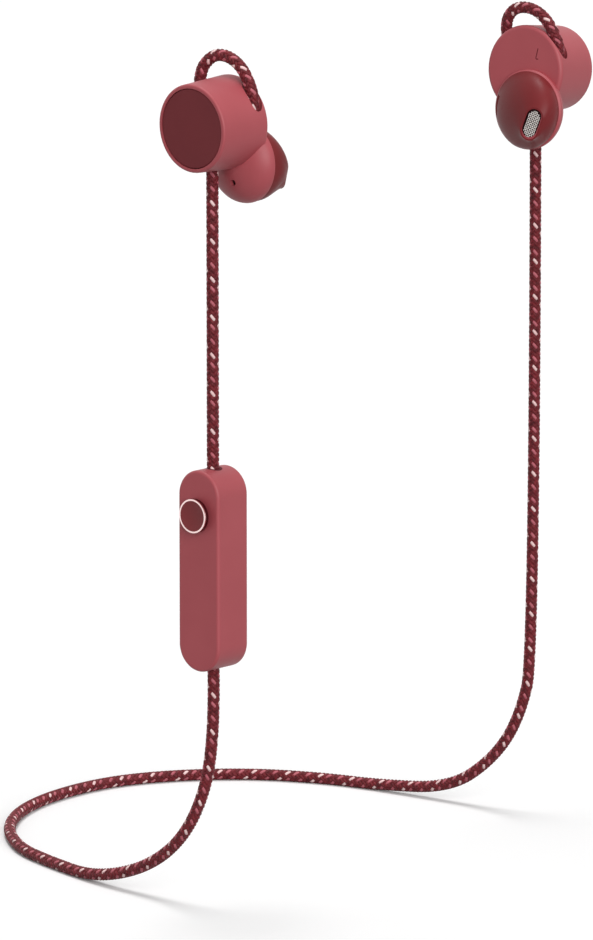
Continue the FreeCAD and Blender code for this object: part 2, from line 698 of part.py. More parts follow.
def build_buds():
    """All pieces of the right bud, each with its mirror image, and the two cord loops."""
    loop_route = [Vector(*point) for point in RIGHT_LOOP]
    left_route = [Vector(*point) for point in LEFT_LOOP]
    drum_outline()
    in_bud("drum_shell", drum_shell([loop_route, left_route]))
    in_bud("cap_disc", cap_disc())
    in_bud("cord_bush", cord_bush())
    ear_pieces()
    in_bud("loop_anchors", loop_anchors(loop_route))
    driver_pieces()
    cord("right_ear_loop", [bud.multVec(point) for point in loop_route])
    cord("left_ear_loop", [on_left(bud.multVec(point)) for point in left_route])


# The control pod

FACE = "0 - pod_depth / 2"
BACK = "pod_depth / 2"
KNOB_Z = "pod_height / 2 - knob_drop"
BOARD_END = "(pod_height / 2 - board_end)"
CAN_Z = KNOB_Z + " - switch_half - can_gap - can_half_height"
SOCKET_Z = "socket_end - " + BOARD_END
MIC_Z = "mic_end - " + BOARD_END


def in_pod(name, item):
    node(name, item, pod.multiply(item.Placement))


def pad_along_x(body, name, start, length, draw):
    """A pad on a plane square to x; draw adds the outline to its sketch."""
    sketch = new_sketch(body, name + "_sketch", "YZ_Plane", Vector(0, 0, value(start)))
    sketch.setExpression("AttachmentOffset.Base.z", formula(str(start)))
    draw(sketch)
    return feature(body, "Pad", name, sketch, Length=length)


def pocket_along_x(body, name, start, length, draw, forwards=True):
    """A pocket from a plane square to x, towards +x or towards -x."""
    sketch = new_sketch(body, name + "_sketch", "YZ_Plane", Vector(0, 0, value(start)))
    sketch.setExpression("AttachmentOffset.Base.z", formula(str(start)))
    draw(sketch)
    return feature(body, "Pocket", name, sketch, Length=length, Reversed=forwards)


def pod_shell():
    """A deep tray with full-round ends: face and sides in one moulding, open at the back."""
    body = new_body("pod_shell_form")
    half = "pod_width / 2"
    tall = "pod_height / 2"
    pad_along_x(body, "pod_block", FACE, "pod_depth", lambda sketch: obround(sketch, 0, 0, half, tall))
    face = value(FACE)
    back = value(BACK)

    def on_ends(edge):
        middle = edge.valueAt((edge.FirstParameter + edge.LastParameter) / 2)
        flat = abs(edge.Vertexes[0].X - edge.Vertexes[-1].X) < 1e-6
        return flat and (abs(middle.x - face) < 1e-4 or abs(middle.x - back) < 1e-4)
    round_edges(body, "pod_edges", "pod_round", on_ends)
    inner_half = half + " - pod_wall"
    inner_tall = tall + " - pod_wall"
    pocket_along_x(body, "pod_hollow", BACK, "pod_depth - pod_wall",
                   lambda sketch: obround(sketch, 0, 0, inner_half, inner_tall), forwards=False)
    seat_half = half + " - pod_wall / 2"
    seat_tall = tall + " - pod_wall / 2"
    pocket_along_x(body, "pod_cover_seat", BACK, "pod_wall",
                   lambda sketch: obround(sketch, 0, 0, seat_half, seat_tall), forwards=False)
    pocket_along_x(body, "stem_hole", FACE, "pod_wall * 2",
                   lambda sketch: circle(sketch, 0, KNOB_Z, "stem_hole_radius"))
    sketch = new_sketch(body, "pod_cord_holes_sketch", "XY_Plane")
    circle(sketch, 0, 0, "cord_diameter / 2 + bush_wall")
    feature(body, "Pocket", "pod_cord_holes", sketch, Type="ThroughAll", Midplane=True)
    sketch = new_sketch(body, "pod_socket_sketch", "XZ_Plane")
    rectangle(sketch, FACE + " + board_depth - socket_height / 2", SOCKET_Z,
              "socket_height / 2 + cover_gap", "socket_width / 2 + cover_gap")
    feature(body, "Pocket", "pod_socket_mouth", sketch, Type="ThroughAll")
    sketch = new_sketch(body, "pod_mic_sketch", "XZ_Plane")
    circle(sketch, FACE + " + board_depth / 2", MIC_Z, "mic_radius")
    feature(body, "Pocket", "pod_mic_port", sketch, Type="ThroughAll")
    return body


def pod_cover():
    """The back cover, a plate let into the back of the shell with a rim that plugs inside."""
    body = new_body("pod_cover_form")
    outer_half = "pod_width / 2 - pod_wall / 2 - cover_gap"
    outer_tall = "pod_height / 2 - pod_wall / 2 - cover_gap"
    pad_along_x(body, "cover_plate", BACK + " - pod_wall", "pod_wall",
                lambda sketch: obround(sketch, 0, 0, outer_half, outer_tall))
    rim_start = BACK + " - pod_wall - cover_rim"
    rim_half = "pod_width / 2 - pod_wall - cover_gap"
    rim_tall = "pod_height / 2 - pod_wall - cover_gap"
    pad_along_x(body, "cover_rim", rim_start, "cover_rim",
                lambda sketch: obround(sketch, 0, 0, rim_half, rim_tall))
    hollow_half = rim_half + " - cover_rim_wall"
    hollow_tall = rim_tall + " - cover_rim_wall"
    pocket_along_x(body, "cover_rim_inside", rim_start, "cover_rim",
                   lambda sketch: obround(sketch, 0, 0, hollow_half, hollow_tall))
    return body


def knob_pieces():
    """The control knob on its stem, and the bright ring let into its edge."""
    top = "0 - knob_stand"
    inner = "knob_radius - ring_width"
    step = top + " + ring_depth"
    under = top + " + knob_thick"
    stem_end = "pivot_depth + stem_reach"
    knob = turned("knob_form", [
        (top, 0), (top, inner), (step, inner), (step, "knob_radius"), (under, "knob_radius"),
        (under, "stem_radius * 1.5"), (under + " + knob_flare", "stem_radius"), (stem_end, "stem_radius"),
        (stem_end, 0),
    ])
    dish = document.addObject("Part::Sphere", "knob_dish_ball")
    hollow = formula("(pow(" + inner + "; 2) + pow(knob_dish; 2)) / (2 * knob_dish)")
    dish.setExpression("Radius", hollow)
    document.recompute()
    dish.Placement = Placement(Vector(value(top + " + knob_dish") - dish.Radius.Value, 0, 0), Rotation())
    at_knob = Placement(Vector(value(FACE), 0, value(KNOB_Z)), Rotation())
    cup = boolean("Cut", "control_knob", knob, dish)
    cup.Placement = at_knob
    in_pod("control_knob", cup)
    ring = turned("knob_ring", ring_corners(top, step, inner, "knob_radius"))
    ring.Placement = at_knob
    in_pod("knob_ring", ring)


def crosswise(name, reach, radius, direction):
    """A round bar through the pivot, square to the knob's axis."""
    bar = document.addObject("Part::Cylinder", name)
    bar.setExpression("Radius", formula(radius))
    bar.setExpression("Height", formula("2 * (" + reach + ")"))
    start = direction * -value(reach)
    bar.Placement = Placement(start, Rotation(Vector(0, 0, 1), direction))
    return bar


def switch_pieces():
    """A five-way switch: a base, a gimbal that tilts in it, a rocker that tilts in that, and a snap dome."""
    half_thick = "(pin_radius + switch_wall / 4)"
    bore = "stem_radius + stem_gap"
    rocker_outer = bore + " + switch_wall"
    gimbal_inner = rocker_outer + " + frame_gap"
    gimbal_outer = gimbal_inner + " + switch_wall * 1.2"
    upright = Vector(0, 0, 1)
    level = Vector(0, 1, 0)
    at_pivot = Placement(Vector(value(FACE + " + pivot_depth"), 0, value(KNOB_Z)), Rotation())

    ring_back = "0 - " + half_thick
    rocker_ring = turned("rocker_ring", ring_corners(ring_back, half_thick, bore, rocker_outer))
    rocker_pins = crosswise("rocker_pins", gimbal_outer, "pin_radius", upright)
    rocker_solid = boolean("Fuse", "rocker_solid", rocker_ring, rocker_pins)
    rocker_bore = document.addObject("Part::Cylinder", "rocker_bore")
    rocker_bore.setExpression("Radius", formula(bore))
    rocker_bore.setExpression("Height", formula("4 * pivot_depth"))
    rocker_bore.Placement = Placement(Vector(-2 * value("pivot_depth"), 0, 0), Rotation(Vector(0, 1, 0), 90))
    rocker = boolean("Cut", "switch_rocker", rocker_solid, rocker_bore)

    gimbal_ring = turned("gimbal_ring", ring_corners(ring_back, half_thick, gimbal_inner, gimbal_outer))
    gimbal_pins = crosswise("gimbal_pins", "switch_half", "pin_radius", level)
    gimbal_solid = boolean("Fuse", "gimbal_solid", gimbal_ring, gimbal_pins)
    gimbal_core = document.addObject("Part::Cylinder", "gimbal_core")
    gimbal_core.setExpression("Radius", formula(gimbal_inner))
    gimbal_core.setExpression("Height", formula("4 * pivot_depth"))
    gimbal_core.Placement = rocker_bore.Placement
    gimbal_open = boolean("Cut", "gimbal_open", gimbal_solid, gimbal_core)
    gimbal = boolean("Cut", "switch_gimbal", gimbal_open,
                     crosswise("gimbal_holes", "switch_half", "pin_radius + pin_gap", upright))

    floor = "board_depth - pivot_depth"
    inside = "switch_half - switch_wall"
    tray = new_body("switch_tray")
    brim = half_thick + " + switch_wall / 3"
    pad_along_x(tray, "tray_block", "0 - (" + brim + ")", floor + " + " + brim,
                lambda sketch: rectangle(sketch, 0, 0, "switch_half", "switch_half"))
    pocket_along_x(tray, "tray_hollow", "0 - (" + brim + ")", floor + " + " + brim + " - switch_wall",
                   lambda sketch: rectangle(sketch, 0, 0, inside, inside))
    base_holes = crosswise("base_holes", "switch_half * 1.2", "pin_radius + pin_gap", level)
    base = boolean("Cut", "switch_base", tray, base_holes)

    dome_start = floor + " - switch_wall"
    dome_top = dome_start + " - dome_rise"
    dome = turned("switch_dome", [
        (dome_start, "stem_radius"), (dome_top, "stem_radius / 2"), (dome_top, 0),
        (dome_top + " + dome_sheet", 0), (dome_top + " + dome_sheet", "stem_radius / 2 - dome_sheet / 3"),
        (dome_start, "stem_radius - dome_sheet * 2.5"),
    ])
    pieces = {"switch_rocker": rocker, "switch_gimbal": gimbal, "switch_base": base, "switch_dome": dome}
    for name, item in pieces.items():
        item.Placement = at_pivot
        in_pod(name, item)


def board_pieces():
    """The circuit board and what is on it, and the battery behind it."""
    board = new_body("main_board_form")
    front = FACE + " + board_depth"
    pad_along_x(board, "board", front, "board_thick",
                lambda sketch: rectangle(sketch, 0, 0, "board_half_width", BOARD_END))
    in_pod("main_board", board)
    can = new_body("radio_can_form")
    pad_along_x(can, "can", front + " - can_thick", "can_thick",
                lambda sketch: rectangle(sketch, 0, CAN_Z, "can_half_width", "can_half_height"))
    in_pod("radio_can", can)
    cell = new_body("battery_form")
    pad_along_x(cell, "cell", front + " + board_thick + cord_gap", "cell_thick",
                lambda sketch: rectangle(sketch, 0, "cell_z", "cell_half_width", "cell_half_height"))
    edges_round(cell, "cell_edges", "cell_round")
    in_pod("battery", cell)
    microphone = new_body("microphone_form")
    mic_y = "board_half_width - mic_edge"
    pad_along_x(microphone, "microphone_block", front + " - mic_thick", "mic_thick",
                lambda sketch: rectangle(sketch, mic_y, MIC_Z, "mic_half_width", "mic_half_height"))
    in_pod("microphone", microphone)
    socket = new_body("charge_socket_form")
    middle_y = "pod_width / 2 - pod_wall / 2 - socket_deep / 2"
    pad_along_x(socket, "socket_block", front + " - socket_height", "socket_height",
                lambda sketch: rectangle(sketch, middle_y, SOCKET_Z, "socket_deep / 2", "socket_width / 2"))
    sketch = new_sketch(socket, "socket_mouth_sketch", "XZ_Plane")
    rectangle(sketch, front + " - socket_height / 2", SOCKET_Z, "socket_height / 2 - socket_wall",
              "socket_width / 2 - socket_wall")
    sketch.AttachmentOffset = Placement(Vector(0, 0, -value("pod_width / 2 - pod_wall / 2")), Rotation())
    feature(socket, "Pocket", "socket_mouth", sketch, Length="socket_deep - socket_wall * 2", Reversed=True)
    in_pod("charge_socket", socket)


def edges_round(body, name, radius):
    """Round the four long corners of a block that is flat along x."""
    document.recompute()

    def along_x(edge):
        return abs(edge.Vertexes[0].X - edge.Vertexes[-1].X) > 0.5
    return round_edges(body, name, radius, along_x)


def pod_bush(name, up):
    """A rubber bush in an end of the pod: flush outside, with a collar inside and closed behind the cord."""
    reach = value("pod_height") / 2
    inner = reach - value("pod_wall") * 2.6
    plug = document.addObject("Part::Cylinder", name + "_plug")
    plug.setExpression("Radius", formula("cord_diameter / 2 + bush_wall"))
    plug.Height = reach - inner
    collar = document.addObject("Part::Cylinder", name + "_collar")
    collar.setExpression("Radius", formula("cord_diameter / 2 + bush_wall + bush_collar"))
    collar.setExpression("Height", formula("pod_wall * 0.8"))
    drill = document.addObject("Part::Cylinder", name + "_bore")
    drill.setExpression("Radius", formula("cord_diameter / 2 + bush_gap"))
    drill.setExpression("Height", formula("cord_depth * 2"))
    facing = Rotation() if up else Rotation(Vector(1, 0, 0), 180)
    for item, start in ((plug, inner), (collar, inner), (drill, reach - value("cord_depth"))):
        item.Placement = Placement(facing.multVec(Vector(0, 0, start)), facing)
    solid = boolean("Fuse", name + "_solid", plug, collar)
    bored = boolean("Cut", name + "_bored", solid, drill)
    in_pod(name, boolean("Common", name, bored, document.getObject("pod_outside")))


def build_pod():
    """The pod's shell and cover, the knob and its switch, the board, and the bushes for the cord."""
    in_pod("pod_shell", pod_shell())
    in_pod("pod_back_cover", pod_cover())
    knob_pieces()
    switch_pieces()
    board_pieces()
    outside = new_body("pod_outside")
    pad_along_x(outside, "pod_outside_block", FACE, "pod_depth",
                lambda sketch: obround(sketch, 0, 0, "pod_width / 2", "pod_height / 2"))
    pod_bush("pod_top_bush", True)
    pod_bush("pod_bottom_bush", False)


def eased(end, run, bore):
    """The cord's end drawn back along its run, until its square end just meets the floor of a bush's bore."""
    back = Vector(run)
    back.normalize()
    return end + back * value("cord_diameter / 2") * math.tan(run.getAngle(bore))


def build_cords():
    """The two stretches of cord between the pieces."""
    deep = Vector(0, 0, value("cord_depth"))
    top = Vector(pod_middle.x, pod_middle.y, value("pod_top")) - deep
    bottom = Vector(pod_middle.x, pod_middle.y, value("pod_top - pod_height")) + deep
    cord("right_cord", [right_exit + deep, top])
    ground = value("floor_level") + value("cord_diameter") / 2
    bottom = eased(bottom, Vector(*BELOW_POD), -deep)
    left_exit = on_left(right_exit)
    left_exit = eased(left_exit + deep, Vector(*BELOW_LEFT), left_exit - on_left(right_exit + deep))
    first = bottom + Vector(*BELOW_POD)
    last = left_exit + Vector(*BELOW_LEFT)
    middle = [Vector(x, y, ground if z is None else z) for x, y, z in LONG_ROUTE]
    cord("long_cord", [bottom, first] + middle + [last, left_exit])


# The route of each loop in its own bud's frame, from the back leg to the front one
RIGHT_LOOP = [
    (9.8, 6.3, 3.1), (10.1, 7.2, 9.4), (10.75, 3.65, 13.85), (11.2, -0.9, 14.3), (11.3, -5.4, 11.3),
    (11.05, -8.5, 4.35), (10.75, -6.35, 1.25),
]
LEFT_LOOP = [
    (9.8, 6.3, 3.1), (10.1, 7.2, 9.4), (11.7, 4.5, 13.6), (12.0, -0.6, 14.05), (11.75, -5.15, 11.15),
    (11.05, -8.5, 4.35), (10.75, -6.35, 1.25),
]

# The route of the long stretch in the row frame, from below the pod to below the left bud.
# Points with no height lie on the ground.
LONG_ROUTE = [
    (-7.4, 8.1, -143.5), (-4.5, 21.5, -155.2), (-2.5, 39.6, None), (3.5, 59.0, None), (9.5, 72.6, None),
    (24.4, 88.3, None), (44.0, 97.4, None), (66.9, 98.4, None), (83.2, 91.8, None), (97.9, 77.6, None),
    (105.1, 60.6, None), (107.3, 46.6, None), (108.2, 26.4, -159.4), (108.2, 14.1, -150.9),
    (108.3, 6.8, -140.6),
]

# The ends of the straight runs that hang below the pod and below the left bud, from where they start
BELOW_POD = (0.1, -0.4, -18.5)
BELOW_LEFT = (0.1, -0.5, -124.4)

build_buds()
build_pod()
build_cords()

document.recompute()
for item in document.Objects:
    if "Invalid" in item.State or "Error" in item.State:
        raise RuntimeError(item.Name + " failed: " + ", ".join(item.State))
for name, item in nodes.items():
    shape = item.Shape
    if shape.isNull() or not shape.isValid():
        raise RuntimeError(name + " has no valid shape")
    print(name, "solids", len(shape.Solids), "volume %.1f" % shape.Volume)
    shape.exportStep("parts/%s.step" % name)
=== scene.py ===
"""The looks of a pair of in-ear earphones on one braided cord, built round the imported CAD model.

Positions are worked out in millimetres in the row frame, as in part.py, and given to Blender in metres:
+X runs from the right bud to the left one, +Z is up and -Y is the side that the wearer faces.
"""
import json
import math

import bpy
import numpy as np
from mathutils import Matrix, Vector

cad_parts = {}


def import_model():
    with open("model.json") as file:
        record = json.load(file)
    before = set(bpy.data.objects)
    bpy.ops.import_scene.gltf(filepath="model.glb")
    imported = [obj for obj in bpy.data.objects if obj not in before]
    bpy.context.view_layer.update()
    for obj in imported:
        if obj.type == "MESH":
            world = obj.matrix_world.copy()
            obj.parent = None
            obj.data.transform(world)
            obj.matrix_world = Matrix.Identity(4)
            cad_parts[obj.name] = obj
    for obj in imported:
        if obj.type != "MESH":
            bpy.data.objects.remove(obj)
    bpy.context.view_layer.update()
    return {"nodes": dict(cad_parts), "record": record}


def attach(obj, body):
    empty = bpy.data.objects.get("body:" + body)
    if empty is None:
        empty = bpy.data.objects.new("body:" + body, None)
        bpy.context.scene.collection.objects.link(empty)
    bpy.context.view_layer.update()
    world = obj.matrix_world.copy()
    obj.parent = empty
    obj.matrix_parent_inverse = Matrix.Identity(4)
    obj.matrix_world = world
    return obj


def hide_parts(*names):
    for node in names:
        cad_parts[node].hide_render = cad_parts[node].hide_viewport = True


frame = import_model()
MM = 0.001
NODES = frame["nodes"]

# Sizes that part.py has too, in millimetres

SEAT = Vector((14.0, -2.3, -8.6))
BUD_SPACING = 114.9
DRUM_RADIUS = 10.05
DRUM_LENGTH = 13.35
CORD_DIAMETER = 2.6
CORD_HOLE = Vector((7.03, 0.72, -DRUM_RADIUS))
CORD_DEPTH = 1.4
POD_TOP = -65.3
POD_HEIGHT = 43.65
FLOOR = -162.6
GROUND = FLOOR + CORD_DIAMETER / 2
NOZZLE_END = Vector((19.9, -7.15, -11.1))
NOZZLE_TURN = math.radians(12.0)
NOZZLE_ROLL = math.radians(18.5)
MESH_DEPTH = 0.1

# The slot that the nozzle's screen fills
SLOT_HALF_WIDTH = 1.62
SLOT_HALF_HEIGHT = 3.25


def hung(toe, cant):
    """The turn of a right bud that hangs with this toe and cant, in degrees."""
    return Matrix.Rotation(-math.radians(toe), 3, "Z") @ Matrix.Rotation(-math.radians(cant), 3, "Y")


RIGHT_TURN = hung(4.0, 1.5)
LEFT_TURN = hung(1.5, 3.5)
RIGHT_EXIT = RIGHT_TURN @ (CORD_HOLE - SEAT)
MIDDLE = RIGHT_EXIT.x + BUD_SPACING / 2


def on_right(point):
    """A point of a bud's own frame, put where the right bud hangs."""
    return RIGHT_TURN @ (Vector(point) - SEAT)


def on_left(point):
    """A point of a bud's own frame, put where the left bud hangs."""
    placed = LEFT_TURN @ (Vector(point) - SEAT)
    return Vector((2 * MIDDLE - placed.x, placed.y, placed.z))


# Camera

EYE = Vector((-1234.387, -979.520, 228.898))
FORWARD = Vector((0.7741346, 0.6056334, -0.1841841))
LENS = 288.06
SENSOR = 36.0

# The range of distances that the camera shows, in metres
NEAREST = 0.05
FARTHEST = 20.0

camera = bpy.data.objects.new("camera", bpy.data.cameras.new("camera"))
bpy.context.scene.collection.objects.link(camera)
camera.location = EYE * MM
camera.rotation_mode = "QUATERNION"
camera.rotation_quaternion = FORWARD.to_track_quat("-Z", "Y")
camera.data.sensor_width = SENSOR
camera.data.lens = LENS
camera.data.clip_start = NEAREST
camera.data.clip_end = FARTHEST
bpy.context.scene.camera = camera
bpy.context.scene.view_settings.view_transform = "Standard"


# Materials

WHITE = (1.0, 1.0, 1.0, 1.0)

# How many octaves of noise soft clouds, scratches and a fine grain have
CLOUD_DETAIL = 2.0
SCRATCH_DETAIL = 3.0
GRAIN_DETAIL = 4.0

# The range that most noise lies in
NOISE_LOW = 0.3
NOISE_HIGH = 0.7

# The specular level of a surface with hardly any gloss
FAINT_GLOSS = 0.14


def srgb(red, green, blue):
    """A colour given in 0 to 255 as a screen shows it, as Blender wants it: the sRGB curve undone."""
    def linear(value):
        """One channel of the colour, as a share."""
        share = value / 255
        if share <= 0.04045:
            return share / 12.92
        return ((share + 0.055) / 1.055) ** 2.4
    return (linear(red), linear(green), linear(blue), 1.0)


class Graph:
    """A material with its node tree and short ways to add to it."""

    def __init__(self, name):
        self.material = bpy.data.materials.new(name)
        self.material.use_nodes = True
        self.tree = self.material.node_tree
        self.shader = self.tree.nodes["Principled BSDF"]
        self.coordinates = None

    def node(self, kind, inputs=(), **settings):
        """A new node; inputs gives an output or a value for each of its sockets."""
        item = self.tree.nodes.new("ShaderNode" + kind)
        for key, setting in settings.items():
            setattr(item, key, setting)
        for key, entry in dict(inputs).items():
            self.put(item.inputs[key], entry)
        return item

    def put(self, socket, entry):
        """Link an output to a socket, or set its value."""
        if isinstance(entry, bpy.types.NodeSocket):
            self.tree.links.new(entry, socket)
        else:
            socket.default_value = entry

    def noise(self, scale, detail):
        """Noise over the surface, scale in bumps a millimetre."""
        inputs = {"Scale": scale / MM, "Detail": detail, "Vector": self.place()}
        return self.node("TexNoise", inputs).outputs["Fac"]

    def place(self):
        """Where a point lies on its own object, in metres."""
        if self.coordinates is None:
            self.coordinates = self.node("TexCoord").outputs["Object"]
        return self.coordinates

    def remap(self, value, low, high, start=NOISE_LOW, end=NOISE_HIGH):
        """A value between start and end, taken to lie in the same way between low and high."""
        inputs = {"Value": value, "From Min": start, "From Max": end, "To Min": low, "To Max": high}
        return self.node("MapRange", inputs).outputs["Result"]

    def blend(self, share, first, second):
        """The first colour where the share is 0 and the second where it is 1."""
        item = self.node("Mix", data_type="RGBA")
        self.put(item.inputs["Factor"], share)
        self.put(item.inputs["A"], first)
        self.put(item.inputs["B"], second)
        return item.outputs["Result"]

    def bump(self, height, distance):
        """Bumps as deep as distance in millimetres."""
        return self.node("Bump", {"Height": height, "Distance": distance * MM}).outputs["Normal"]

    def set(self, **entries):
        """Give the shader an output or a value for each socket named, with _ for a space in its name."""
        for key, entry in entries.items():
            self.put(self.shader.inputs[key.replace("_", " ")], entry)
        return self.material


# Clouds in the colour of a moulding, in bumps a millimetre, and how far its roughness varies
CLOUDS = 0.09
ROUGH_SPREAD = 0.05


def moulded(name, colour, shade, rough, grain, depth, gloss=FAINT_GLOSS):
    """A moulded or coated plastic: cloudy colour, and a fine grain that scatters the gloss.

    grain is in bumps a millimetre, depth in millimetres, and gloss is the specular level.
    """
    graph = Graph(name)
    cloud = graph.noise(CLOUDS, CLOUD_DETAIL)
    graph.set(Base_Color=graph.blend(graph.remap(cloud, 0.0, 1.0), colour, shade))
    fine = graph.noise(grain, GRAIN_DETAIL)
    graph.set(Roughness=graph.remap(fine, rough - ROUGH_SPREAD, rough + ROUGH_SPREAD))
    return graph.set(Normal=graph.bump(fine, depth), Specular_IOR_Level=gloss)


# The knob's coating, with painted shade on its side: where its face looks, its grain, how uneven the edge of
# the face is, and its finish
KNOB_OUTWARDS = (-1, 0, 0)
KNOB_GRAIN = 8.0
KNOB_GRAIN_DEPTH = 0.004
KNOB_UNEVEN = 0.04
KNOB_SIDE_ROUGH = 0.30
KNOB_FACE_ROUGH = 0.50
KNOB_GLOSS = 0.25


def knob_coating_and_shade(face, side):
    """Matt on the face of the knob, and smoother round its side, which is painted darker as painted shade."""
    graph = Graph("knob_coating_and_shade")
    outwards = graph.node("TexCoord").outputs["Normal"]
    towards = {0: outwards, 1: KNOB_OUTWARDS}
    facing = graph.node("VectorMath", towards, operation="DOT_PRODUCT").outputs["Value"]
    fine = graph.noise(KNOB_GRAIN, GRAIN_DETAIL)
    uneven = graph.remap(fine, -KNOB_UNEVEN, KNOB_UNEVEN)
    # Painted shade: this share is 1 on the face and falls to 0 round the side, which takes the dark side
    # colour and the lower roughness.
    unshaded_share = graph.node("Math", {0: facing, 1: uneven}, operation="ADD").outputs[0]
    graph.set(Base_Color=graph.blend(graph.remap(unshaded_share, 0.0, 1.0), side, face))
    graph.set(Roughness=graph.remap(unshaded_share, KNOB_SIDE_ROUGH, KNOB_FACE_ROUGH))
    return graph.set(Normal=graph.bump(fine, KNOB_GRAIN_DEPTH), Specular_IOR_Level=KNOB_GLOSS)


# Fine scratches in metal: their share of its colour and how much of that shows
SCRATCH_SHADE = 0.8
SCRATCH_SHOWN = 0.35

# The shares of its roughness beside the scratches and in them
SMOOTH_SHARE = 0.8
SCRATCHED_SHARE = 1.3


def metal(name, colour, rough, scratch, depth):
    """Bright or plated metal with fine marks; scratch is in bumps a millimetre and depth in millimetres."""
    graph = Graph(name)
    fine = graph.noise(scratch, SCRATCH_DETAIL)
    dull = tuple(SCRATCH_SHADE * part for part in colour[:3]) + (1.0,)
    graph.set(Base_Color=graph.blend(graph.remap(fine, 0.0, SCRATCH_SHOWN), colour, dull))
    graph.set(Roughness=graph.remap(fine, rough * SMOOTH_SHARE, rough * SCRATCHED_SHARE))
    graph.set(Normal=graph.bump(fine, depth))
    return graph.set(Metallic=1.0)


# Yarn: how far its fibres lean round it on their way along, and how they are drawn out, across and along
YARN_TWIST = 0.35
FIBRES_DRAWN_OUT = (22.0, 1.2, 1.0)
FIBRE_DEPTH = 0.03
YARN_PATCHES = 0.8
YARN_ROUGH_SPREAD = 0.08
YARN_GLOSS = 0.25
YARN_SHEEN = 0.15
YARN_SHEEN_ROUGH = 0.4

# The range that most sums of fibres and patches lie in
TONE_START = 0.75
TONE_END = 1.25


def yarn(name, colour, shade, rough):
    """Twisted filament yarn; its map runs round the strand in u and along it in v, in about strand widths."""
    graph = Graph(name)
    lay = graph.node("UVMap", uv_map="strand").outputs["UV"]
    parts = graph.node("SeparateXYZ", {"Vector": lay})
    twist = graph.node("Math", {0: parts.outputs["Y"], 1: YARN_TWIST}, operation="MULTIPLY").outputs[0]
    across = graph.node("Math", {0: parts.outputs["X"], 1: twist}, operation="ADD").outputs[0]
    laid = graph.node("CombineXYZ", {"X": across, "Y": parts.outputs["Y"]}).outputs["Vector"]
    stretched = graph.node("Mapping", {"Vector": laid, "Scale": FIBRES_DRAWN_OUT}).outputs["Vector"]
    fibre_noise = {"Vector": stretched, "Scale": 1.0, "Detail": CLOUD_DETAIL}
    fibres = graph.node("TexNoise", fibre_noise).outputs["Fac"]
    patches = graph.noise(YARN_PATCHES, CLOUD_DETAIL)
    tone = graph.node("Math", {0: fibres, 1: patches}, operation="ADD").outputs[0]
    graph.set(Base_Color=graph.blend(graph.remap(tone, 0.0, 1.0, TONE_START, TONE_END), colour, shade))
    graph.set(Roughness=graph.remap(fibres, rough - YARN_ROUGH_SPREAD, rough + YARN_ROUGH_SPREAD))
    graph.set(Normal=graph.bump(fibres, FIBRE_DEPTH))
    graph.set(Specular_IOR_Level=YARN_GLOSS, Sheen_Weight=YARN_SHEEN, Sheen_Roughness=YARN_SHEEN_ROUGH)
    return graph.set(Sheen_Tint=srgb(235, 170, 170))


BODY = moulded("body_paint", srgb(172, 77, 84), srgb(166, 72, 79), 0.50, 9.0, 0.004, 0.48)
CAP = moulded("cap_coating", srgb(114, 43, 48), srgb(108, 40, 45), 0.62, 7.0, 0.006, 0.25)
TIP = moulded("tip_silicone", srgb(120, 38, 41), srgb(112, 33, 36), 0.42, 5.0, 0.003, 0.20)
BUSH = moulded("bush_rubber", srgb(96, 30, 38), srgb(86, 26, 34), 0.65, 6.0, 0.006)
# The knob's second colour is painted shade for its side.
KNOB = knob_coating_and_shade(srgb(124, 50, 53), srgb(60, 4, 9))
# The side letters are recessed in the real face; their dark colour is painted shade of the recess.
LETTER_SHADE = moulded("letter_recess_shade", srgb(84, 24, 30), srgb(76, 20, 26), 0.6, 8.0, 0.004)
# The plate behind the woven wires is dark as painted shade: it stands for the shaded hollow of the nozzle
# seen through the weave.
SCREEN_SHADE = metal("screen_backing_shade", srgb(46, 24, 26), 0.6, 3.0, 0.004)
RING = metal("ring_metal", srgb(250, 222, 220), 0.20, 6.0, 0.001)
WIRE = metal("screen_wire", srgb(225, 220, 216), 0.38, 12.0, 0.002)
INNER = moulded("inner_plastic", srgb(52, 50, 52), srgb(44, 43, 46), 0.50, 6.0, 0.006)
PLATED = metal("plated_steel", srgb(196, 196, 200), 0.30, 4.0, 0.003)
MAGNET = metal("magnet_plating", srgb(170, 170, 176), 0.25, 3.0, 0.003)
COPPER = metal("coil_wire", srgb(205, 128, 84), 0.35, 14.0, 0.01)
FILM = moulded("diaphragm_film", srgb(200, 192, 176), srgb(190, 182, 166), 0.25, 1.5, 0.01)
BOARD = moulded("board_resist", srgb(26, 84, 54), srgb(20, 70, 46), 0.35, 2.0, 0.004)
FOAM = moulded("gasket_foam", srgb(34, 34, 38), srgb(24, 24, 28), 0.85, 10.0, 0.03)
FOIL = metal("cell_foil", srgb(190, 192, 196), 0.42, 1.2, 0.02)

FINISHES = {
    "body_shell": BODY, "cap": CAP, "ear_tip": TIP, "bush": BUSH, "mesh": SCREEN_SHADE, "inner_plastic": INNER,
    "steel": PLATED, "magnet": MAGNET, "coil": COPPER, "diaphragm": FILM, "board": BOARD, "gasket": FOAM,
    "knob": KNOB, "ring": RING, "switch_steel": PLATED, "cell": FOIL,
}
for entry in frame["record"]["subparts"]:
    if entry["material_slot"] in FINISHES:
        data = NODES[entry["node"]].data
        data.materials.clear()
        data.materials.append(FINISHES[entry["material_slot"]])

YARN_DARK = yarn("yarn_dark", srgb(128, 38, 46), srgb(70, 12, 19), 0.55)
YARN_ROSE = yarn("yarn_rose", srgb(198, 112, 122), srgb(172, 84, 96), 0.45)
YARN_PALE = yarn("yarn_pale", srgb(250, 222, 220), srgb(236, 190, 190), 0.42)
CORE = moulded("cord_core", srgb(34, 8, 13), srgb(26, 6, 10), 0.8, 3.0, 0.01)


# The braided cord: eight strands run each way, and each passes over two and under two

